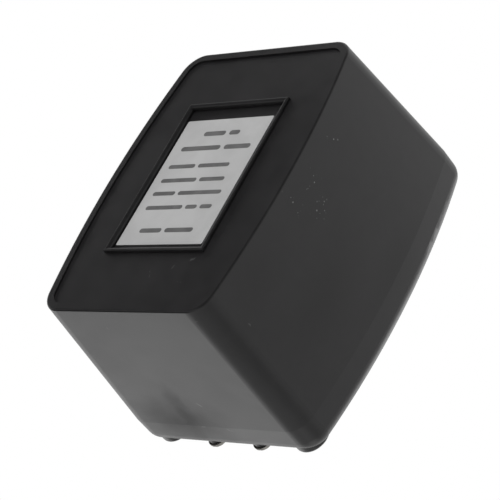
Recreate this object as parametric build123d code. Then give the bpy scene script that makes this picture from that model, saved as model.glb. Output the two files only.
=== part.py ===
# Plug-in transformer: a flared two-piece case round a small EI transformer,
# with mains blades on the back and two screw terminals along its lower edge.
# Millimetres. +Z is up, +Y points into the wall, X runs across the blades.
# The origin lies midway between the blades, on the face that meets the wall.
import os
from build123d import *

# Lamination and winding
tongue = 19.0               # width of the core's middle leg; the EI shape follows from it
stack = 19.0                # thickness of the lamination stack
bobbin_fit = 0.3            # room between core and bobbin, on each side
bobbin_wall = 1.2
tape_thickness = 0.5
flange_lip = 1.0            # how far the bobbin flanges stand over the tape
winding_fit = 0.05          # room round each winding and tape
coil_corner = 4.0           # outer corner radius of the windings
ledge_margin = 1.3          # from the outer pins' middles to the ends of the bobbin's pin ledges
ledge_depth = 4.0
ledge_rise = 7.5            # from the winding's edge to the ledge's outer edge
ledge_fit = 0.2             # room between a ledge and the core's back
pin_size = 1.0
pin_reach = 4.2             # free length of a pin
pin_root = 2.5              # length of a pin in its ledge
pin_fit = 0.03
pin_edge = 3.0              # from a pin's middle to the ledge's outer edge

# Thermal fuse on the primary
fuse_diameter = 2.4
fuse_length = 9.0
fuse_lead_diameter = 0.8
fuse_lead_length = 6.0
sleeve_wall = 0.25
sleeve_fit = 0.05
sleeve_length = 13.0
fuse_gap = 0.55             # from the sleeve to the inside of the front

# Room inside the case, measured at the front
side_room = 2.85
top_room = 5.0
bottom_room = 11.2
retainer_gap = 0.4          # from the bobbin to the blade retainer

# Case
wall = 2.4
back_wall = 2.5
side_flare = 2.7            # growth of each side from the front to the seam
end_flare = 2.6             # growth of the top and of the bottom
front_bulge = 3.45          # how far each curved side stands out at its middle, at the front
seam_bulge = 4.3            # the same at the seam and behind it
corner_radius = 5.85
cover_depth = 8.9           # from the seam to the back
back_edge_radius = 4.0
lip_length = 4.0            # the cover's lip inside the front shell
lip_wall = 1.4
lip_root = 2.0
lip_fit = 0.15

# Front: rim, label frame and label
rim_width = 2.1
rim_height = 0.5
rim_round = 0.5             # on the outer edge; the inner edge is left sharp
frame_width = 31.6
frame_height = 44.4
frame_shift_z = -0.05       # from the middle of the case
frame_bar = 1.2
frame_rise = 0.85
frame_round_out = 0.3
frame_round_in = 0.8
pocket_sink = 0.45
label_thickness = 0.2
label_gap_left = 0.4        # from the label to the frame; the label sits low
label_gap_right = 1.3
label_gap_top = 3.4
label_gap_bottom = 1.3
label_corner = 0.4

# Seats for the core
seat_bite = 5.0             # how far a seat reaches under the core
seat_width = 9.0
seat_wall = 2.0
seat_height = 6.0           # how far a seat's wall runs along the core
side_rib_width = 2.0
core_fit = 0.25             # room between the core and its ribs
post_diameter = 5.0
post_inset = 0.75           # from a post to the core's edge

# Mains blades
blade_pitch = 12.7
blade_width = 6.35
blade_thickness = 1.5
blade_reach = 16.5          # beyond the wall face
blade_tip = 1.2             # corner cut at the tip
blade_hole_diameter = 3.2
blade_hole_setback = 4.9    # from the tip to the hole's middle
blade_rise = 18.0           # above the middle of the case
blade_foot = 10.2           # length of the bent end, from the blade's outer face
blade_bend = 1.3            # outer radius of the bend
blade_fit = 0.15
boss_width = 34.0
boss_height = 22.0
boss_rise = 2.8
boss_corner = 5.0
boss_round = 0.6
retainer_width = 25.0
retainer_height = 13.0
retainer_thickness = 1.2
retainer_corner = 1.5
stake_diameter = 2.6
stake_shoulder = 4.6
stake_pitch = 7.6
stake_fit = 0.1

# Terminals and feet
terminal_pitch = 14.4
pad_diameter = 4.4
pad_rise = 0.05
head_diameter = 5.2
head_height = 1.25
head_round = 1.0
head_slot = 1.0
head_slot_depth = 0.7
screw_diameter = 2.5
screw_hole_fit = 0.2
thread_fit = 0.04
screw_proud = 1.4           # past the terminal plate
plate_width = 9.5
plate_height = 9.5
plate_thickness = 2.0
plate_below = 1.8           # from the screw's middle to the plate's lower edge
plate_slot = 1.15           # depth of the slot in the cover's bottom wall that keeps the plate from turning
plate_gap = 0.2             # from the plate to the slot's floor and sides
foot_pitch = 43.2
foot_diameter = 9.0
foot_rise = 0.5
foot_round = 0.9
foot_edge = 5.15            # from a foot's middle to the bottom of the case

# Leads
lead_diameter = 1.4
lead_bend = 2.2             # radius of the bend, at the wire's middle
lead_solder = 4.4           # from a terminal screw's middle to the lead's end
lead_margin = 1.6           # from a primary lead's middle to the end of the blade's foot

cut_past = 1.0              # how far a cut runs past the face it opens

# Sizes that follow
leg = tongue / 2
window = tongue / 2
window_length = 1.5 * tongue
core_width = window_length + 2 * leg
core_height = tongue + 2 * window + 2 * leg
tube_half_z = tongue / 2 + bobbin_fit + bobbin_wall
tube_half_y = stack / 2 + bobbin_fit + bobbin_wall
flange_half_z = tongue / 2 + window - bobbin_fit
winding_edge = flange_half_z - flange_lip
coil_growth = winding_edge - tube_half_z
winding_build = coil_growth - tape_thickness - 2 * winding_fit
sleeve_diameter = fuse_diameter + 2 * (sleeve_fit + sleeve_wall)
fuse_room = fuse_gap + sleeve_diameter + winding_fit

front_width = core_width + 2 * (side_room + wall)
front_height = core_height + top_room + bottom_room + 2 * wall
seam_width = front_width + 2 * side_flare
seam_height = front_height + 2 * end_flare

pocket_width = frame_width - 2 * frame_bar
pocket_height = frame_height - 2 * frame_bar
label_width = pocket_width - label_gap_left - label_gap_right
label_height = pocket_height - label_gap_top - label_gap_bottom
pin_spread = blade_pitch / 2 + blade_thickness / 2 + blade_foot - lead_margin
ledge_width = 2 * (pin_spread + ledge_margin)

# Depths, counted from the top of the front rim
plate_out = rim_height
plate_in = plate_out + wall
coil_front = plate_in + fuse_room
core_front = coil_front + coil_growth + tube_half_y - stack / 2
core_back = core_front + stack
coil_back = core_back + core_front - coil_front
flange_back = coil_back + flange_lip
retainer_in = flange_back + retainer_gap
foot_in = retainer_in + retainer_thickness
cover_in = foot_in + blade_thickness
case_depth = cover_in + back_wall
seam = case_depth - cover_depth
ledge_in = core_back + ledge_fit
ledge_out = ledge_in + ledge_depth
lead_depth = ledge_out + pin_reach / 2
screw_tip = cover_in - plate_thickness - screw_proud

# Heights, and the label's place across
case_z = -blade_rise
frame_z = case_z + frame_shift_z
label_x = (label_gap_left - label_gap_right) / 2
label_z = frame_z + (label_gap_bottom - label_gap_top) / 2
core_z = case_z + (bottom_room - top_room) / 2
slot_floor = case_z - seam_height / 2 + wall - plate_slot
terminal_z = slot_floor + plate_gap + plate_below
foot_z = case_z - seam_height / 2 + foot_edge
ledge_edge = winding_edge + winding_fit + ledge_rise


def at_depth(depth):
    """The Y of a depth behind the front rim."""
    return depth - case_depth - boss_rise


def facing_front(depth, x=0.0, z=0.0):
    """A plane across the case that looks out of its front."""
    return Plane(origin=(x, at_depth(depth), z), x_dir=(1, 0, 0), z_dir=(0, -1, 0))


def block(x, z, near, far, width, height):
    """A box between two depths, given its middle, width and height."""
    centre = Pos(x, at_depth((near + far) / 2), z)
    return centre * Box(width, far - near, height)


def peg(x, z, near, far, diameter):
    """A round peg between two depths."""
    return extrude(facing_front(far, x, z) * Circle(diameter / 2), far - near)


def barrel(width, height, bulge, inset):
    """The case's outline: flat top and bottom, bowed sides, round corners."""
    half = width / 2
    knee = half - bulge
    top = height / 2
    outline = make_face([
        Line((-knee, top), (knee, top)),
        ThreePointArc((knee, top), (half, 0), (knee, -top)),
        Line((knee, -top), (-knee, -top)),
        ThreePointArc((-knee, -top), (-half, 0), (-knee, top)),
    ])
    outline = fillet(outline.vertices(), corner_radius)
    return offset(outline, -inset) if inset else outline


def shell_section(depth, inset=0.0):
    """The front shell's outline at a depth; it flares evenly up to the seam."""
    share = depth / seam
    width = front_width + 2 * side_flare * share
    height = front_height + 2 * end_flare * share
    bulge = front_bulge + (seam_bulge - front_bulge) * share
    return facing_front(depth, z=case_z) * barrel(width, height, bulge, inset)


def cover_section(depth, inset=0.0):
    """The back cover's outline at a depth; its walls run straight back from the seam."""
    return facing_front(depth, z=case_z) * barrel(seam_width, seam_height, seam_bulge, inset)


def tapered(section, near, far, inset=0.0):
    """A straight-sided solid between a section's outlines at two depths."""
    return loft([section(near, inset), section(far, inset)], ruled=True)


def rounded_block(x, z, near, far, width, height, radius):
    """A block with its four edges along the depth rounded."""
    outline = facing_front(far, x, z) * RectangleRounded(width, height, radius)
    return extrude(outline, far - near)


def front_rim(shell):
    """Round the front's edge, and sink its face to leave the rim."""
    front = shell.faces().sort_by(Axis.Y)[0]
    rounded_shell = fillet(front.edges(), rim_round)
    return rounded_shell - extrude(shell_section(0, rim_width), -rim_height)


def label_frame():
    """The raised bars round the label."""
    spot = facing_front(plate_out, z=frame_z)
    outer = Rectangle(frame_width, frame_height)
    inner = Rectangle(pocket_width, pocket_height)
    bars = extrude(spot * (outer - inner), frame_rise)
    top = bars.faces().sort_by(Axis.Y)[0]
    bars = fillet(top.outer_wire().edges(), frame_round_out)
    top = bars.faces().sort_by(Axis.Y)[0]
    bars = fillet(top.inner_wires()[0].edges(), frame_round_in)
    root = extrude(spot * (outer - inner), -wall / 2)
    return bars + root


def core_seats():
    """Corner seats under the core, each with a wall above or below it, and a rib on each side."""
    reach = seat_height + core_front
    seats = []
    for side in (-1, 1):
        for end in (-1, 1):
            x = side * (core_width / 2 - seat_width / 2)
            edge = core_height / 2
            under = block(x, core_z + end * (edge - seat_bite / 2), plate_out + wall / 2, core_front,
                          seat_width, seat_bite)
            beyond = core_z + end * (edge + core_fit + seat_wall / 2)
            upright = block(x, beyond, plate_out + wall / 2, reach, seat_width, seat_wall)
            bridge = block(x, core_z + end * (edge + core_fit / 2), plate_out + wall / 2, core_front,
                           seat_width, core_fit)
            seats += [under, upright, bridge]
        near = plate_out + wall / 2
        far = seam - lip_length - lip_wall
        rib_width = side_room + side_flare + wall
        rib_x = side * (core_width / 2 + core_fit + rib_width / 2)
        seats.append(block(rib_x, core_z, near, far, rib_width, side_rib_width))
    return seats


def front_shell():
    body = tapered(shell_section, 0, seam)
    shell = front_rim(body) - tapered(shell_section, plate_in, seam, wall)
    inside = tapered(shell_section, plate_out, seam, wall / 2)
    for seat in core_seats():
        shell += seat & inside
    shell += label_frame()
    spot = facing_front(plate_out, z=frame_z)
    return shell - extrude(spot * Rectangle(pocket_width, pocket_height), -pocket_sink)


def label_plate():
    spot = facing_front(plate_out + pocket_sink, label_x, label_z)
    return extrude(spot * RectangleRounded(label_width, label_height, label_corner), label_thickness)


def cover_cavity():
    return tapered(cover_section, seam, cover_in, wall)


def cover_wall():
    """The back cover's walls, with its back edges rounded and its lip."""
    body = tapered(cover_section, seam, case_depth)
    back = body.faces().sort_by(Axis.Y)[-1]
    cover = fillet(back.edges(), back_edge_radius) - cover_cavity()
    lip_inset = wall + lip_fit
    outer = tapered(shell_section, seam - lip_length, seam, lip_inset)
    tongue_ring = outer - tapered(shell_section, seam - lip_length, seam, lip_inset + lip_wall)
    outer_root = tapered(cover_section, seam, seam + lip_root, wall / 2)
    root_ring = outer_root - tapered(cover_section, seam, seam + lip_root, lip_inset + lip_wall)
    return cover + root_ring + tongue_ring


def blade_boss():
    """The raised face round the blades."""
    boss = rounded_block(0, 0, case_depth - back_wall / 2, case_depth + boss_rise,
                         boss_width, boss_height, boss_corner)
    top = boss.faces().sort_by(Axis.Y)[-1]
    return fillet(top.edges(), boss_round)


def foot(x):
    """One low round-edged foot in a bottom corner, down to where the back edge's rounding starts."""
    solid = peg(x, foot_z, case_depth - back_edge_radius, case_depth + foot_rise, foot_diameter)
    top = solid.faces().sort_by(Axis.Y)[-1]
    return fillet(top.edges(), foot_round)


def terminal_pad(x):
    return peg(x, terminal_z, cover_in + back_wall / 2, case_depth + pad_rise, pad_diameter)


def plate_recess(x):
    """The slot in the bottom wall for a terminal plate and the end of its screw."""
    near = screw_tip - plate_gap
    return block(x, slot_floor + plate_below, near, cover_in, plate_width + 2 * plate_gap, 2 * plate_below)


def back_cover():
    cover = cover_wall() + blade_boss()
    straight = tapered(cover_section, seam, case_depth + boss_rise) - cover_cavity()
    left_foot = foot(-foot_pitch / 2) & straight
    cover += [left_foot, mirror(left_foot, about=Plane.YZ)]
    for side in (-1, 1):
        cover += terminal_pad(side * terminal_pitch / 2) & straight
    post_x = core_width / 2 - post_diameter / 2 - post_inset
    post_z = core_height / 2 - post_diameter / 2 - post_inset
    for x in (-post_x, post_x):
        for z in (core_z - post_z, core_z + post_z):
            cover += peg(x, z, core_back, cover_in + back_wall / 2, post_diameter)
    for z in (-stake_pitch / 2, stake_pitch / 2):
        cover += peg(0, z, foot_in, cover_in + back_wall / 2, stake_shoulder)
        cover += peg(0, z, retainer_in, cover_in, stake_diameter)
    for side in (-1, 1):
        cover -= block(side * blade_pitch / 2, 0, cover_in - cut_past, case_depth + boss_rise + cut_past,
                       blade_thickness + 2 * blade_fit, blade_width + 2 * blade_fit)
        cover -= plate_recess(side * terminal_pitch / 2)
        cover -= peg(side * terminal_pitch / 2, terminal_z, cover_in - cut_past,
                     case_depth + pad_rise + cut_past, screw_diameter + 2 * screw_hole_fit)
    return cover


def blade(side):
    """A flat blade, bent outwards inside the cover so that it can't be pulled out."""
    inner = blade_pitch / 2 - blade_thickness / 2
    tip_y = blade_reach
    root_y = at_depth(cover_in)
    outline = make_face(Polyline(
        (root_y, -blade_width / 2), (tip_y - blade_tip, -blade_width / 2),
        (tip_y, -blade_width / 2 + blade_tip), (tip_y, blade_width / 2 - blade_tip),
        (tip_y - blade_tip, blade_width / 2), (root_y, blade_width / 2), close=True))
    outline -= Pos(tip_y - blade_hole_setback, 0) * Circle(blade_hole_diameter / 2)
    plane = Plane(origin=(side * inner, 0, 0), x_dir=(0, 1, 0), z_dir=(1, 0, 0))
    flat = extrude(plane * outline, side * blade_thickness)
    foot_length = blade_thickness + blade_foot
    bent = block(side * (inner + foot_length / 2), 0, foot_in, cover_in, foot_length, blade_width)
    heel = bent.edges().filter_by(Axis.Z).group_by(Axis.Y)[0]
    heel = heel.sort_by(lambda edge: abs(edge.center().X))[0]
    return flat + fillet(heel, blade_bend)


def blade_retainer():
    board = rounded_block(0, 0, retainer_in, foot_in, retainer_width, retainer_height, retainer_corner)
    for z in (-stake_pitch / 2, stake_pitch / 2):
        board -= peg(0, z, retainer_in - cut_past, foot_in + cut_past, stake_diameter + 2 * stake_fit)
    return board


def terminal_screw(side):
    """A round-headed slotted screw; its thread is left plain."""
    x = side * terminal_pitch / 2
    seat = case_depth + pad_rise
    head = peg(x, terminal_z, seat, seat + head_height, head_diameter)
    crown = head.faces().sort_by(Axis.Y)[-1]
    head = fillet(crown.edges(), head_round)
    head -= block(x, terminal_z, seat + head_height - head_slot_depth, seat + head_height + cut_past,
                  head_slot, head_diameter)
    return head + peg(x, terminal_z, screw_tip, seat, screw_diameter)


def terminal_plate(side):
    """The tapped plate behind the cover that the screw draws up."""
    x = side * terminal_pitch / 2
    middle = terminal_z - plate_below + plate_height / 2
    plate = block(x, middle, cover_in - plate_thickness, cover_in, plate_width, plate_height)
    hole = peg(x, terminal_z, cover_in - plate_thickness - cut_past, cover_in + cut_past,
               screw_diameter + 2 * thread_fit)
    return plate - hole


def e_core_stack():
    """The E halves of the laminations: a yoke on the left with three legs."""
    left = -core_width / 2
    yoke = block(left + leg / 2, core_z, core_front, core_back, leg, core_height)
    middle = left + leg + window_length / 2
    core = yoke + block(middle, core_z, core_front, core_back, window_length, tongue)
    for end in (-1, 1):
        z = core_z + end * (core_height / 2 - leg / 2)
        core += block(middle, z, core_front, core_back, window_length, leg)
    return core


def i_core_stack():
    """The I halves, which close the magnetic path on the right."""
    return block(core_width / 2 - leg / 2, core_z, core_front, core_back, leg, core_height)


def coil_plane(x):
    """A plane across the coil's axis, at a distance along it."""
    middle = at_depth((core_front + core_back) / 2)
    return Plane(origin=(x, middle, core_z), x_dir=(0, 1, 0), z_dir=(1, 0, 0))


def rounded(width, height, radius):
    return RectangleRounded(width, height, radius) if radius else Rectangle(width, height)


def wrap(span, gap, thickness, inner_radius, outer_radius):
    """A closed wrap round the bobbin's tube, starting a gap away from it."""
    left, right = span
    in_y = 2 * (tube_half_y + gap)
    in_z = 2 * (tube_half_z + gap)
    outer = rounded(in_y + 2 * thickness, in_z + 2 * thickness, outer_radius)
    inner = rounded(in_y, in_z, inner_radius)
    return extrude(coil_plane(left + winding_fit) * (outer - inner), right - left - 2 * winding_fit)


def winding_spans():
    """Where the two windings lie along the coil's axis, primary first."""
    half = window_length / 2 - bobbin_fit
    return (-half + bobbin_wall, -bobbin_wall / 2), (bobbin_wall / 2, half - bobbin_wall)


def winding(span):
    return wrap(span, winding_fit, winding_build, 0, coil_corner)


def tape(span):
    gap = 2 * winding_fit + winding_build
    return wrap(span, gap, tape_thickness, coil_corner + winding_fit, coil_corner + tape_thickness)


def pin_places(end):
    """Middles of the two pins in the upper (1) or lower (-1) ledge."""
    x = pin_spread if end > 0 else terminal_pitch / 2
    z = core_z + end * (ledge_edge - pin_edge)
    return [(-x, z), (x, z)]


def pins(end):
    return Part() + [block(x, z, ledge_out - pin_root, ledge_out + pin_reach, pin_size, pin_size)
                     for x, z in pin_places(end)]


def coil_bobbin():
    """A tube with three flanges, and a ledge of pins above and below it at the back."""
    half = window_length / 2 - bobbin_fit
    hole = Rectangle(stack + 2 * bobbin_fit, tongue + 2 * bobbin_fit)
    tube = Rectangle(2 * tube_half_y, 2 * tube_half_z) - hole
    bobbin = extrude(coil_plane(-half) * tube, 2 * half)
    flange = Rectangle(2 * (tube_half_y + coil_growth + flange_lip), 2 * flange_half_z) - hole
    for x in (-half, -bobbin_wall / 2, half - bobbin_wall):
        bobbin += extrude(coil_plane(x) * flange, bobbin_wall)
    hole_size = pin_size + 2 * pin_fit
    for end in (-1, 1):
        middle = core_z + end * (ledge_edge - ledge_rise / 2)
        bobbin += block(0, middle, ledge_in, ledge_out, ledge_width, ledge_rise)
        for x, z in pin_places(end):
            bobbin -= block(x, z, ledge_out - pin_root, ledge_out + cut_past, hole_size, hole_size)
    return bobbin


def along_fuse(diameter, length):
    """A cylinder on the fuse's axis, which stands upright in front of the primary."""
    left, right = winding_spans()[0]
    depth = coil_front - winding_fit - sleeve_diameter / 2
    return Pos((left + right) / 2, at_depth(depth), core_z) * Cylinder(diameter / 2, length)


def thermal_fuse():
    leads = along_fuse(fuse_lead_diameter, fuse_length + 2 * fuse_lead_length)
    return along_fuse(fuse_diameter, fuse_length) + leads


def fuse_sleeve():
    bore = along_fuse(fuse_diameter + 2 * sleeve_fit, sleeve_length)
    return along_fuse(sleeve_diameter, sleeve_length) - bore


def lead(x, start_depth, start_z, pin_z):
    """A wire that leaves a flat face, bends once and runs up to the underside of a pin."""
    start = (x, at_depth(start_depth), start_z)
    corner = (x, at_depth(lead_depth), start_z)
    finish = (x, at_depth(lead_depth), pin_z - pin_size / 2)
    path = FilletPolyline(start, corner, finish, radius=lead_bend)
    return sweep(facing_front(start_depth, x, start_z) * Circle(lead_diameter / 2), path)


def primary_lead(side):
    x, z = pin_places(1)[0 if side < 0 else 1]
    return lead(x, foot_in, 0, z)


def secondary_lead(side):
    x, z = pin_places(-1)[0 if side < 0 else 1]
    return lead(x, cover_in - plate_thickness, terminal_z + lead_solder, z)


def all_parts():
    primary, secondary = winding_spans()
    parts = {
        "front_shell": front_shell(),
        "back_cover": back_cover(),
        "label_plate": label_plate(),
        "blade_retainer": blade_retainer(),
        "e_core_stack": e_core_stack(),
        "i_core_stack": i_core_stack(),
        "coil_bobbin": coil_bobbin(),
        "primary_winding": winding(primary),
        "secondary_winding": winding(secondary),
        "primary_tape": tape(primary),
        "secondary_tape": tape(secondary),
        "primary_pins": pins(1),
        "secondary_pins": pins(-1),
        "thermal_fuse": thermal_fuse(),
        "fuse_sleeve": fuse_sleeve(),
    }
    for name, side in (("left", -1), ("right", 1)):
        parts["blade_" + name] = blade(side)
        parts["terminal_screw_" + name] = terminal_screw(side)
        parts["terminal_plate_" + name] = terminal_plate(side)
        parts["primary_lead_" + name] = primary_lead(side)
        parts["secondary_lead_" + name] = secondary_lead(side)
    return parts


os.makedirs("parts", exist_ok=True)
for node, solid in all_parts().items():
    export_step(solid, "parts/" + node + ".step")
print("case", round(front_width, 2), "x", round(front_height, 2), "at the front,",
      round(seam_width, 2), "x", round(seam_height, 2), "at the seam,", round(case_depth, 2), "deep")
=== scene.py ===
# Plug-in transformer: black moulded case with a framed label, mains blades and terminal screws
import math
import bmesh
import bpy
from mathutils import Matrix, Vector


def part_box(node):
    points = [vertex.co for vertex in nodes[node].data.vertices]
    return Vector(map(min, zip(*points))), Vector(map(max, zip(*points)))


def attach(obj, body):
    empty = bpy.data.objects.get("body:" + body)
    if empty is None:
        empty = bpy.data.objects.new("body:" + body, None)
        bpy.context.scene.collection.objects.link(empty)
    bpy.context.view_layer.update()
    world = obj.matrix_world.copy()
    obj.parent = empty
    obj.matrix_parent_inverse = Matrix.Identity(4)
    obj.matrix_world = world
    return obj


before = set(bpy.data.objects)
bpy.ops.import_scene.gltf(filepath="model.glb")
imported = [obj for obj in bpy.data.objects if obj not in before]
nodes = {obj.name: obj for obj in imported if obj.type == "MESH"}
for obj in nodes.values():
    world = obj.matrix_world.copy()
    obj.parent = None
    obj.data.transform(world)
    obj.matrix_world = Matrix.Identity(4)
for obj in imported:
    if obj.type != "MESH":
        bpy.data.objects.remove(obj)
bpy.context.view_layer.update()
scene = bpy.context.scene
mm = 0.001
noiseEdges = (0.3, 0.7)  # levels between which most of a noise lies
noiseMiddle = (0.5, 0.5, 0.5)
print("frame loaded:", len(nodes), "nodes")


# small helpers for node trees
def feed(tree, socket, value):
    if isinstance(value, bpy.types.NodeSocket):
        tree.links.new(value, socket)
    else:
        socket.default_value = value


def put(tree, kind, inputs=None, **settings):
    node = tree.nodes.new(kind)
    for key, value in settings.items():
        setattr(node, key, value)
    for key, value in (inputs or {}).items():
        feed(tree, node.inputs[key], value)
    return node


def math2(tree, operation, a, b=0.0, c=0.0, clamp=False):
    node = put(tree, "ShaderNodeMath", {0: a, 1: b, 2: c}, operation=operation, use_clamp=clamp)
    return node.outputs[0]


def vectors(tree, operation, *inputs):
    node = put(tree, "ShaderNodeVectorMath", dict(enumerate(inputs)), operation=operation)
    plain = operation in ("DOT_PRODUCT", "DISTANCE", "LENGTH")
    return node.outputs["Value" if plain else "Vector"]


def scaled(tree, vector, share):
    node = put(tree, "ShaderNodeVectorMath", {0: vector, "Scale": share}, operation="SCALE")
    return node.outputs["Vector"]


def noise(tree, place, scale, detail, **more):
    inputs = {"Vector": place, "Scale": scale, "Detail": detail, **more}
    return put(tree, "ShaderNodeTexNoise", inputs).outputs  # value first, then colour


def ramp(tree, value, low, high, toLow=0.0, toHigh=1.0, smooth=True):
    inputs = {"Value": value, "From Min": low, "From Max": high, "To Min": toLow, "To Max": toHigh}
    kind = "SMOOTHSTEP" if smooth else "LINEAR"
    return put(tree, "ShaderNodeMapRange", inputs, interpolation_type=kind).outputs["Result"]


def mixColour(tree, share, a, b):
    node = put(tree, "ShaderNodeMix", {0: share}, data_type="RGBA", blend_type="MIX")
    feed(tree, node.inputs[6], a)
    feed(tree, node.inputs[7], b)
    return node.outputs[2]


def highest(tree, masks):
    result = masks[0]
    for mask in masks[1:]:
        result = math2(tree, "MAXIMUM", result, mask)
    return result


def grey(level):
    return (level, level, level, 1.0)


# a group's inputs are given with their defaults; all its outputs are plain values
def startGroup(name, inputs, outputs):
    tree = bpy.data.node_groups.new(name, "ShaderNodeTree")
    for label, value in inputs.items():
        kind = "NodeSocketVector" if isinstance(value, tuple) else "NodeSocketFloat"
        socket = tree.interface.new_socket(label, in_out="INPUT", socket_type=kind)
        socket.default_value = value
    for label in outputs:
        tree.interface.new_socket(label, in_out="OUTPUT", socket_type="NodeSocketFloat")
    entry = tree.nodes.new("NodeGroupInput")
    leave = tree.nodes.new("NodeGroupOutput")
    place = put(tree, "ShaderNodeTexCoord").outputs["Object"]
    return tree, entry.outputs, leave.inputs, scaled(tree, place, 1 / mm)


def useGroup(tree, group, **inputs):
    node = tree.nodes.new("ShaderNodeGroup")
    node.node_tree = group
    for label, value in inputs.items():
        feed(tree, node.inputs[label], value)
    return node.outputs


# shared effects; every length in them is in millimetres
def makeMouldGrain():
    tree, given, out, place = startGroup(
        "mouldGrain", {"Grain": 0.3, "Drift": 16.0}, ("Height", "Tone"))
    fineScale = math2(tree, "DIVIDE", 1.0, given["Grain"])
    wideScale = math2(tree, "DIVIDE", 1.0, given["Drift"])
    fine = noise(tree, place, fineScale, 2.0, Roughness=0.6)[0]
    wide = noise(tree, place, wideScale, 3.0, Roughness=0.55, Distortion=0.4)[0]
    tree.links.new(fine, out["Height"])
    tree.links.new(ramp(tree, wide, *noiseEdges), out["Tone"])
    return tree


def makeLooseDust():
    noiseScale, move = 3.0, 0.25  # the noise that bends the specks out of round
    smallest, softEdge = 0.35, 0.5  # as shares of a speck's size
    tree, given, out, place = startGroup(
        "looseDust", {"Cell": 1.2, "Cover": 0.2, "Size": 0.12}, ("Mask",))
    stray = noise(tree, place, noiseScale, 1.0)[1]
    moved = vectors(tree, "MULTIPLY_ADD", stray, (move, move, move), place)
    cellScale = math2(tree, "DIVIDE", 1.0, given["Cell"])
    cells = put(tree, "ShaderNodeTexVoronoi", {"Vector": moved, "Scale": cellScale}).outputs
    tint = put(tree, "ShaderNodeSeparateColor", {0: cells["Color"]}).outputs
    chosen = math2(tree, "LESS_THAN", tint[0], given["Cover"])
    share = ramp(tree, tint[1], 0.0, 1.0, smallest, 1.0)
    radius = math2(tree, "MULTIPLY", given["Size"], share)
    far = math2(tree, "DIVIDE", cells["Distance"], radius)
    spot = ramp(tree, math2(tree, "SUBTRACT", 1.0, far, clamp=True), 0.0, softEdge)
    tree.links.new(math2(tree, "MULTIPLY", spot, chosen), out["Mask"])
    return tree


def makeSmallNick():
    noiseScale, move = 1.6, 0.9  # the noise that bends the nick
    endFade, sideFade = 0.4, 0.3  # as shares of the half length and half width
    tree, given, out, place = startGroup(
        "smallNick", {"Middle": (0.0, 0.0, 0.0), "Along": (1.0, 0.0, 0.0),
                      "Length": 0.6, "Width": 0.15}, ("Mask",))
    stray = vectors(tree, "SUBTRACT", noise(tree, place, noiseScale, 2.0)[1], noiseMiddle)
    bent = vectors(tree, "MULTIPLY_ADD", stray, (move, move, move), place)
    away = vectors(tree, "SUBTRACT", bent, given["Middle"])
    run = vectors(tree, "DOT_PRODUCT", away, given["Along"])
    aside = vectors(tree, "DISTANCE", away, scaled(tree, given["Along"], run))
    alongShare = math2(tree, "DIVIDE", math2(tree, "ABSOLUTE", run), given["Length"])
    asideShare = math2(tree, "DIVIDE", aside, given["Width"])
    ends = ramp(tree, alongShare, 1.0, endFade)
    sides = ramp(tree, asideShare, 1.0, sideFade)
    tree.links.new(math2(tree, "MULTIPLY", ends, sides), out["Mask"])
    return tree


def makeSoftPatch():
    noiseScale = 0.14
    tree, given, out, place = startGroup(
        "softPatch", {"Middle": (0.0, 0.0, 0.0), "Reach": (10.0, 10.0, 10.0), "Stray": 6.0},
        ("Mask",))
    cloud = noise(tree, place, noiseScale, 3.0, Roughness=0.6)[1]
    moved = scaled(tree, vectors(tree, "SUBTRACT", cloud, noiseMiddle), given["Stray"])
    away = vectors(tree, "SUBTRACT", vectors(tree, "ADD", place, moved), given["Middle"])
    far = vectors(tree, "LENGTH", vectors(tree, "DIVIDE", away, given["Reach"]))
    tree.links.new(ramp(tree, far, 1.0, 0.0), out["Mask"])
    return tree


def makeFineBands():
    noiseScale = 0.35
    tree, given, out, place = startGroup(
        "fineBands", {"Across": (1.0, 0.0, 0.0), "Pitch": 0.5, "Stray": 0.15}, ("Band", "Shade"))
    along = vectors(tree, "DOT_PRODUCT", place, given["Across"])
    sway = math2(tree, "MULTIPLY", noise(tree, place, noiseScale, 2.0)[0], given["Stray"])
    turns = math2(tree, "ADD", math2(tree, "DIVIDE", along, given["Pitch"]), sway)
    wave = math2(tree, "SINE", math2(tree, "MULTIPLY", turns, 2 * math.pi))
    line = put(tree, "ShaderNodeTexWhiteNoise", {"W": math2(tree, "FLOOR", turns)},
               noise_dimensions="1D")
    tree.links.new(ramp(tree, wave, -1.0, 1.0), out["Band"])
    tree.links.new(line.outputs["Value"], out["Shade"])
    return tree


mouldGrain = makeMouldGrain()
looseDust = makeLooseDust()
smallNick = makeSmallNick()
softPatch = makeSoftPatch()
fineBands = makeFineBands()
print("shared effects made")


def startMaterial(name, **values):
    material = bpy.data.materials.new(name)
    material.use_nodes = True
    tree = material.node_tree
    shader = tree.nodes["Principled BSDF"]
    for key, value in values.items():
        shader.inputs[key.replace("_", " ")].default_value = value
    return material, tree, shader


def setFinish(tree, shader, colour, rough):
    tree.links.new(colour, shader.inputs["Base Color"])
    tree.links.new(rough, shader.inputs["Roughness"])


def bumpFrom(tree, shader, height, strength, relief):
    inputs = {"Height": height, "Strength": strength, "Distance": relief * mm}
    bump = put(tree, "ShaderNodeBump", inputs)
    tree.links.new(bump.outputs[0], shader.inputs["Normal"])


def dress(material, *names):
    for name in names:
        data = nodes[name].data
        data.materials.clear()
        data.materials.append(material)


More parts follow.
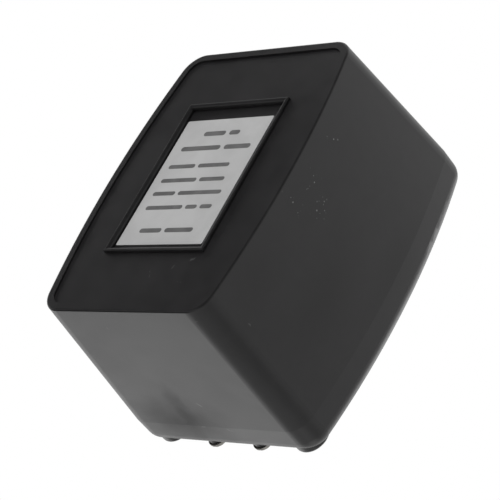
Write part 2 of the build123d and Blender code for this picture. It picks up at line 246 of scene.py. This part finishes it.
# black moulded plastic of the case; lengths and places in millimetres
casePlastic = {
    "dark": (0.0137, 0.0133, 0.0139, 1), "light": (0.0207, 0.0201, 0.0209, 1),
    "patchColour": (0.0080, 0.0076, 0.0078, 1),
    "specular": 0.34, "roughness": (0.35, 0.39),
    "grain": 0.32, "bump": 0.5, "relief": 0.016, "drift": 26.0, "mottle": 5.0,
    "dust": 0.36, "nick": 0.085,
    "specks": {"Cell": 0.95, "Cover": 0.85, "Size": 0.27},
    # middle and reach of the dusty spots on the right wall, and how ragged they are
    "dusty": [((29.4, -45.0, -15.3), (5, 2.8, 5.0)), ((29.3, -46.4, -23.6), (5, 5.0, 3.0)),
              ((29.8, -39.6, -19.0), (5, 3.0, 4.0)), ((29.0, -45.2, -3.6), (5, 3.2, 2.6))],
    "dustyStray": 2.0,
    # middle, reach, darkening and dulling of soft darker patches on the right wall and the bottom
    "darkerPatches": [
        ((30.0, -27.0, -34.0), (9, 12, 22), 0.8, 0.05),
        ((31.3, -12.5, -14.0), (9, 9, 18), 0.6, 0.04),
        ((28.5, -44.0, -42.0), (9, 10, 12), 0.5, 0.03),
        ((-5.5, -18.5, -59.2), (3.2, 13, 8), 0.5, 0.06),
        ((-9.0, -12.5, -59.5), (20, 13, 10), 0.7, 0.15),
    ],
    # middle, direction, half length and half width of the nicks
    "nicks": [
        ((13.6, -50.7, -42.3), (0.71, 0, 0.71), 0.9, 0.30),
        ((13.5, -50.7, -48.5), (1, 0, 0), 0.9, 0.20),
        ((8.8, -50.7, -44.5), (0.5, 0, 0.87), 0.9, 0.20),
        ((2.8, -50.7, -46.3), (-0.4, 0, 0.92), 1.6, 0.14),
        ((-6.9, -51.0, -55.4), (0.3, 0, 0.95), 0.5, 0.3),
        ((9.7, -51.0, -55.3), (1, 0, 0), 0.6, 0.2),
        ((-16.5, -51.0, -55.5), (1, 0, 0), 0.9, 0.2),
        ((18.7, -51.0, 17.7), (1, 0, 0), 0.5, 0.2),
        ((27.3, -39.3, -50.9), (0, 1, 0), 0.5, 0.25),
        ((-7.8, -45.0, -57.4), (0.3, 0.95, 0), 1.0, 0.16),
        ((22.3, -48.1, -57.2), (1, 0, 0), 0.9, 0.25),
        ((1.7, -19.5, -59.1), (0.6, 0.8, 0), 1.1, 0.25),
        ((4.8, -10.8, -59.6), (0.93, 0.37, 0), 1.2, 0.2),
        ((-3.1, -11.5, -59.6), (1, 0, 0), 0.9, 0.2),
    ],
}


def makeCasePlastic(spec):
    material, tree, shader = startMaterial("casePlastic", Specular_IOR_Level=spec["specular"])
    grain = useGroup(tree, mouldGrain, Grain=spec["grain"], Drift=spec["drift"])
    mottle = useGroup(tree, mouldGrain, Grain=spec["grain"], Drift=spec["mottle"])
    tone = math2(tree, "MULTIPLY", math2(tree, "ADD", grain["Tone"], mottle["Tone"]), 0.5)
    colour = mixColour(tree, tone, spec["dark"], spec["light"])
    rough = ramp(tree, tone, 0.0, 1.0, *spec["roughness"])
    # the colour is darkened and the roughness raised in soft patches at these places
    for middle, reach, darkening, dulling in spec["darkerPatches"]:
        patchMask = useGroup(tree, softPatch, Middle=middle, Reach=reach)["Mask"]
        share = math2(tree, "MULTIPLY", patchMask, darkening)
        colour = mixColour(tree, share, colour, spec["patchColour"])
        rough = math2(tree, "MULTIPLY_ADD", patchMask, dulling, rough)
    spots = [useGroup(tree, softPatch, Middle=middle, Reach=reach, Stray=spec["dustyStray"])
             for middle, reach in spec["dusty"]]
    cloud = highest(tree, [spot["Mask"] for spot in spots])
    dust = math2(tree, "MULTIPLY", useGroup(tree, looseDust, **spec["specks"])["Mask"], cloud)
    colour = mixColour(tree, dust, colour, grey(spec["dust"]))
    nicks = [useGroup(tree, smallNick, Middle=middle, Along=along, Length=length, Width=width)
             for middle, along, length, width in spec["nicks"]]
    scraped = highest(tree, [nick["Mask"] for nick in nicks])
    colour = mixColour(tree, scraped, colour, grey(spec["nick"]))
    setFinish(tree, shader, colour, rough)
    bumpFrom(tree, shader, grain["Height"], spec["bump"], spec["relief"])
    return material


dress(makeCasePlastic(casePlastic), "front_shell", "back_cover")
print("case dressed")


# satin film label and its plain grey rows
labelFilm = {
    "light": 0.52, "dark": 0.47, "specular": 0.45, "roughness": (0.34, 0.44),
    "grain": 0.5, "drift": 9.0, "bump": 0.25, "relief": 0.004,
}
labelRows = {
    "ink": 0.11, "inkLift": 1.35, "specular": 0.4, "roughness": (0.42, 0.55),
    "grain": 0.25, "drift": 4.0,
    "thickness": 0.03, "sunk": 0.01, "arcSteps": 6,
    # from the label's top edge, row height, lengths and (below zero) gaps of dashes, and indent
    "rows": [
        (4.4, 1.35, (7.0, -1.2, 3.3), 7.8),
        (8.8, 1.35, (12.6, -1.2, 8.3), 3.1),
        (14.2, 1.15, (8.6, -1.0, 9.9), 2.4),
        (18.4, 1.15, (11.4, -1.0, 7.9), 2.6),
        (22.3, 1.15, (7.2, -1.0, 13.7), 2.4),
        (26.5, 1.15, (11.8, -1.0, 3.6, -1.0, 3.7), 2.8),
        (33.2, 1.25, (7.0, -1.1, 8.9), 5.2),
    ],
}


def makeLabelFilm(spec):
    material, tree, shader = startMaterial("labelFilm", Specular_IOR_Level=spec["specular"])
    grain = useGroup(tree, mouldGrain, Grain=spec["grain"], Drift=spec["drift"])
    colour = mixColour(tree, grain["Tone"], grey(spec["dark"]), grey(spec["light"]))
    setFinish(tree, shader, colour, ramp(tree, grain["Tone"], 0.0, 1.0, *spec["roughness"]))
    bumpFrom(tree, shader, grain["Height"], spec["bump"], spec["relief"])
    return material


def makePrintInk(spec):
    material, tree, shader = startMaterial("printInk", Specular_IOR_Level=spec["specular"])
    grain = useGroup(tree, mouldGrain, Grain=spec["grain"], Drift=spec["drift"])
    worn = grey(spec["ink"] * spec["inkLift"])
    colour = mixColour(tree, grain["Tone"], grey(spec["ink"]), worn)
    setFinish(tree, shader, colour, ramp(tree, grain["Height"], *noiseEdges, *spec["roughness"]))
    return material


def addDash(mesh, left, right, middleZ, height, front, back, arcSteps):
    radius = height / 2
    outline = []
    for centre, start in ((right - radius, -90), (left + radius, 90)):
        for step in range(arcSteps + 1):
            angle = math.radians(start + 180 / arcSteps * step)
            outline.append((centre + radius * math.cos(angle), middleZ + radius * math.sin(angle)))
    near, far = ([mesh.verts.new((x, y, z)) for x, z in outline] for y in (front, back))
    mesh.faces.new(near)
    mesh.faces.new(list(reversed(far)))
    for i in range(len(outline)):
        j = (i + 1) % len(outline)
        mesh.faces.new((near[j], near[i], far[i], far[j]))


def makeLabelRows(spec):
    low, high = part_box("label_plate")
    front = low.y - spec["thickness"] * mm
    back = low.y + spec["sunk"] * mm
    mesh = bmesh.new()
    for drop, height, dashes, indent in spec["rows"]:
        x = low.x + indent * mm
        z = high.z - drop * mm
        for length in dashes:
            if length > 0:
                addDash(mesh, x, x + length * mm, z, height * mm, front, back, spec["arcSteps"])
            x += abs(length) * mm
    bmesh.ops.recalc_face_normals(mesh, faces=mesh.faces)
    data = bpy.data.meshes.new("label_rows")
    mesh.to_mesh(data)
    mesh.free()
    piece = bpy.data.objects.new("label_rows", data)
    scene.collection.objects.link(piece)
    data.materials.append(makePrintInk(spec))
    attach(piece, "root")


dress(makeLabelFilm(labelFilm), "label_plate")
makeLabelRows(labelRows)
print("label dressed")


# bare brass, dull plated steel and tinned wire, all with fine drawn lines
drawnLines = {"grain": 0.4, "drift": 6.0, "pitch": 0.22, "stray": 0.9, "bump": 0.12, "relief": 0.01}
bareBrass = {"bright": (0.74, 0.58, 0.30, 1), "dull": (0.55, 0.41, 0.20, 1),
             "roughness": (0.24, 0.42)}
metals = {
    "bladeBrass": {**bareBrass, "across": (0, 0, 1), "nodes": ("blade_left", "blade_right")},
    "terminalBrass": {**bareBrass, "across": (1, 0, 0),
                      "nodes": ("terminal_plate_left", "terminal_plate_right")},
    "screwSteel": {"bright": (0.36, 0.35, 0.33, 1), "dull": (0.24, 0.23, 0.21, 1),
                   "roughness": (0.58, 0.7), "across": (1, 0, 0),
                   "nodes": ("terminal_screw_left", "terminal_screw_right")},
    "pinTin": {"bright": (0.62, 0.61, 0.57, 1), "dull": (0.47, 0.46, 0.43, 1),
               "roughness": (0.3, 0.45), "across": (0, 1, 0),
               "nodes": ("primary_pins", "secondary_pins")},
}


def makeDrawnMetal(name, spec, lines):
    material, tree, shader = startMaterial(name, Metallic=1.0)
    grain = useGroup(tree, mouldGrain, Grain=lines["grain"], Drift=lines["drift"])
    drawn = useGroup(tree, fineBands, Across=spec["across"], Pitch=lines["pitch"],
                     Stray=lines["stray"])
    colour = mixColour(tree, grain["Tone"], spec["bright"], spec["dull"])
    setFinish(tree, shader, colour, ramp(tree, drawn["Shade"], 0.0, 1.0, *spec["roughness"]))
    bumpFrom(tree, shader, drawn["Band"], lines["bump"], lines["relief"])
    return material


for name, spec in metals.items():
    dress(makeDrawnMetal(name, spec, drawnLines), *spec["nodes"])
print("metal dressed")


# inside: laminations, windings, bobbin, tape, board, fuse and leads
wornBands = {"stray": 0.12, "grain": 0.6, "drift": 8.0, "faintest": 0.6, "bump": 0.4}
insides = {
    "lamination": {"light": (0.30, 0.31, 0.32, 1), "dark": (0.13, 0.13, 0.14, 1),
                   "across": (0, 1, 0), "pitch": 0.5, "metallic": 0.9,
                   "roughness": (0.4, 0.6), "relief": 0.05,
                   "nodes": ("e_core_stack", "i_core_stack")},
    "copperWire": {"light": (0.62, 0.25, 0.10, 1), "dark": (0.30, 0.09, 0.03, 1),
                   "across": (1, 0, 0), "pitch": 0.35, "metallic": 0.8,
                   "roughness": (0.25, 0.4), "relief": 0.1,
                   "nodes": ("primary_winding", "secondary_winding")},
    "bobbinNylon": {"light": (0.76, 0.74, 0.67, 1), "dark": (0.68, 0.65, 0.57, 1),
                    "across": (0, 0, 1), "pitch": 7.0, "metallic": 0.0,
                    "roughness": (0.4, 0.55), "relief": 0.01,
                    "nodes": ("coil_bobbin",)},
    "polyesterTape": {"light": (0.74, 0.55, 0.08, 1), "dark": (0.62, 0.44, 0.05, 1),
                      "across": (1, 0, 0), "pitch": 6.0, "metallic": 0.0,
                      "roughness": (0.18, 0.32), "relief": 0.02,
                      "nodes": ("primary_tape", "secondary_tape")},
    "pressedBoard": {"light": (0.34, 0.20, 0.10, 1), "dark": (0.24, 0.13, 0.06, 1),
                     "across": (1, 0, 0), "pitch": 0.9, "metallic": 0.0,
                     "roughness": (0.55, 0.7), "relief": 0.02,
                     "nodes": ("blade_retainer",)},
    "fuseBody": {"light": (0.60, 0.52, 0.38, 1), "dark": (0.50, 0.43, 0.31, 1),
                 "across": (0, 0, 1), "pitch": 3.0, "metallic": 0.0,
                 "roughness": (0.4, 0.5), "relief": 0.01,
                 "nodes": ("thermal_fuse",)},
    "wovenSleeve": {"light": (0.72, 0.70, 0.63, 1), "dark": (0.56, 0.54, 0.48, 1),
                    "across": (0.7, 0, 0.7), "pitch": 0.5, "metallic": 0.0,
                    "roughness": (0.6, 0.75), "relief": 0.06,
                    "nodes": ("fuse_sleeve",)},
    "blackLead": {"light": (0.035, 0.035, 0.035, 1), "dark": (0.02, 0.02, 0.02, 1),
                  "across": (0, 0, 1), "pitch": 4.0, "metallic": 0.0,
                  "roughness": (0.35, 0.5), "relief": 0.01,
                  "nodes": ("primary_lead_left", "primary_lead_right")},
    "redLead": {"light": (0.45, 0.04, 0.03, 1), "dark": (0.34, 0.03, 0.02, 1),
                "across": (0, 0, 1), "pitch": 4.0, "metallic": 0.0,
                "roughness": (0.35, 0.5), "relief": 0.01,
                "nodes": ("secondary_lead_left", "secondary_lead_right")},
}


def makeBandedFinish(name, spec, bands):
    material, tree, shader = startMaterial(name, Metallic=spec["metallic"])
    lines = useGroup(tree, fineBands, Across=spec["across"], Pitch=spec["pitch"],
                     Stray=bands["stray"])
    grain = useGroup(tree, mouldGrain, Grain=bands["grain"], Drift=bands["drift"])
    fade = ramp(tree, grain["Tone"], 0.0, 1.0, bands["faintest"], 1.0)
    share = math2(tree, "MULTIPLY", lines["Band"], fade)
    colour = mixColour(tree, share, spec["dark"], spec["light"])
    setFinish(tree, shader, colour, ramp(tree, grain["Tone"], 0.0, 1.0, *spec["roughness"]))
    bumpFrom(tree, shader, lines["Band"], bands["bump"], spec["relief"])
    return material


for name, spec in insides.items():
    dress(makeBandedFinish(name, spec, wornBands), *spec["nodes"])
print("inside dressed")


# stage: pale floor, white surroundings, soft lamps and dark cards; lengths in metres
stage = {
    "floorDrop": -0.6, "floorSize": 8.0, "floorGrey": 0.8, "floorRoughness": 0.9,
    # distances between which the floor's glow rises, and its strength at each
    "floorFade": (1.2, 3.6), "floorGlow": (0.36, 0.74),
    "ambient": 0.30,
    # place, size, watts, and whether reflections show it
    "lamps": {
        "front": ((-0.1, -1.0, 0.55), 0.8, 8.6, False),
        "leftBack": ((-0.47, 0.31, -0.31), 0.42, 0.48, True),
        "topBack": ((0.09, 0.765, 0.4), 0.5, 0.88, True),
        "lowBack": ((0.12, 0.52, -0.43), 0.3, 0.27, True),
    },
    "cardGrey": 0.004,
    # place and size; seen in reflections only
    "darkCards": {
        "frontLeft": ((-0.235, -0.372, 0.084), 0.47),
        "frontRight": ((0.19, -0.42, 0.24), 0.62),
        "frontLow": ((0.2, -0.365, -0.234), 0.5),
        "leftLow": ((-0.31, -0.072, -0.338), 0.4),
    },
    "aim": (0.0, -0.027, -0.018),
}
photoCamera = {
    "place": (0.336347, -0.297605, -0.243135),
    "turn": (0.397833, 0.838089, 0.164070, 0.335287),
    "lens": 150.97, "sensor": 36.0, "clip": (0.01, 50),
}


def seenRays(tree):
    rays = put(tree, "ShaderNodeLightPath").outputs
    seen = math2(tree, "ADD", rays["Is Camera Ray"], rays["Is Glossy Ray"])
    return math2(tree, "ADD", seen, rays["Is Transmission Ray"], clamp=True)


def addSquare(name, size, height, material):
    half = size / 2
    corners = [(-half, -half), (half, -half), (half, half), (-half, half)]
    data = bpy.data.meshes.new(name)
    data.from_pydata([(x, y, height) for x, y in corners], [], [(0, 1, 2, 3)])
    data.materials.append(material)
    square = bpy.data.objects.new(name, data)
    scene.collection.objects.link(square)
    return square


def turnTo(piece, place, aim, axis):
    piece.location = place
    piece.rotation_mode = "QUATERNION"
    piece.rotation_quaternion = (Vector(aim) - Vector(place)).to_track_quat(axis, "Y")


def makeFloor(spec):
    material, tree, shader = startMaterial(
        "paleFloor", Roughness=spec["floorRoughness"], Emission_Color=grey(1.0),
        Base_Color=grey(spec["floorGrey"]))
    place = put(tree, "ShaderNodeTexCoord").outputs["Object"]
    far = vectors(tree, "LENGTH", place)
    rise = ramp(tree, far, *spec["floorFade"], *spec["floorGlow"])
    glow = math2(tree, "MULTIPLY", rise, seenRays(tree))
    tree.links.new(glow, shader.inputs["Emission Strength"])
    floor = addSquare("floor", spec["floorSize"], spec["floorDrop"], material)


def makeWorld(spec):
    world = bpy.data.worlds.new("whiteRoom")
    world.use_nodes = True
    scene.world = world
    tree = world.node_tree
    back = tree.nodes["Background"]
    back.inputs["Color"].default_value = grey(1.0)
    strength = ramp(tree, seenRays(tree), 0.0, 1.0, spec["ambient"], 1.0, smooth=False)
    tree.links.new(strength, back.inputs["Strength"])


def makeLamps(spec):
    for name, (place, size, watts, shows) in spec["lamps"].items():
        data = bpy.data.lights.new(name, "AREA")
        data.shape = "DISK"
        data.size = size
        data.energy = watts
        lamp = bpy.data.objects.new(name, data)
        lamp.visible_glossy = shows
        turnTo(lamp, place, spec["aim"], "-Z")
        scene.collection.objects.link(lamp)


def makeDarkCards(spec):
    material = startMaterial("darkCard", Roughness=1.0, Specular_IOR_Level=0.0,
                             Base_Color=grey(spec["cardGrey"]))[0]
    for name, (place, size) in spec["darkCards"].items():
        card = addSquare(name + "Card", size, 0.0, material)
        turnTo(card, place, spec["aim"], "Z")
        for rays in ("camera", "diffuse", "shadow", "transmission", "volume_scatter"):
            setattr(card, "visible_" + rays, False)


def makeCamera(spec):
    data = bpy.data.cameras.new("photoCamera")
    data.lens = spec["lens"]
    data.sensor_width = spec["sensor"]
    data.clip_start, data.clip_end = spec["clip"]
    camera = bpy.data.objects.new("photoCamera", data)
    camera.location = spec["place"]
    camera.rotation_mode = "QUATERNION"
    camera.rotation_quaternion = spec["turn"]
    scene.collection.objects.link(camera)
    scene.camera = camera


makeFloor(stage)
makeWorld(stage)
makeLamps(stage)
makeDarkCards(stage)
makeCamera(photoCamera)
scene.view_settings.view_transform = "Standard"
print("stage set")
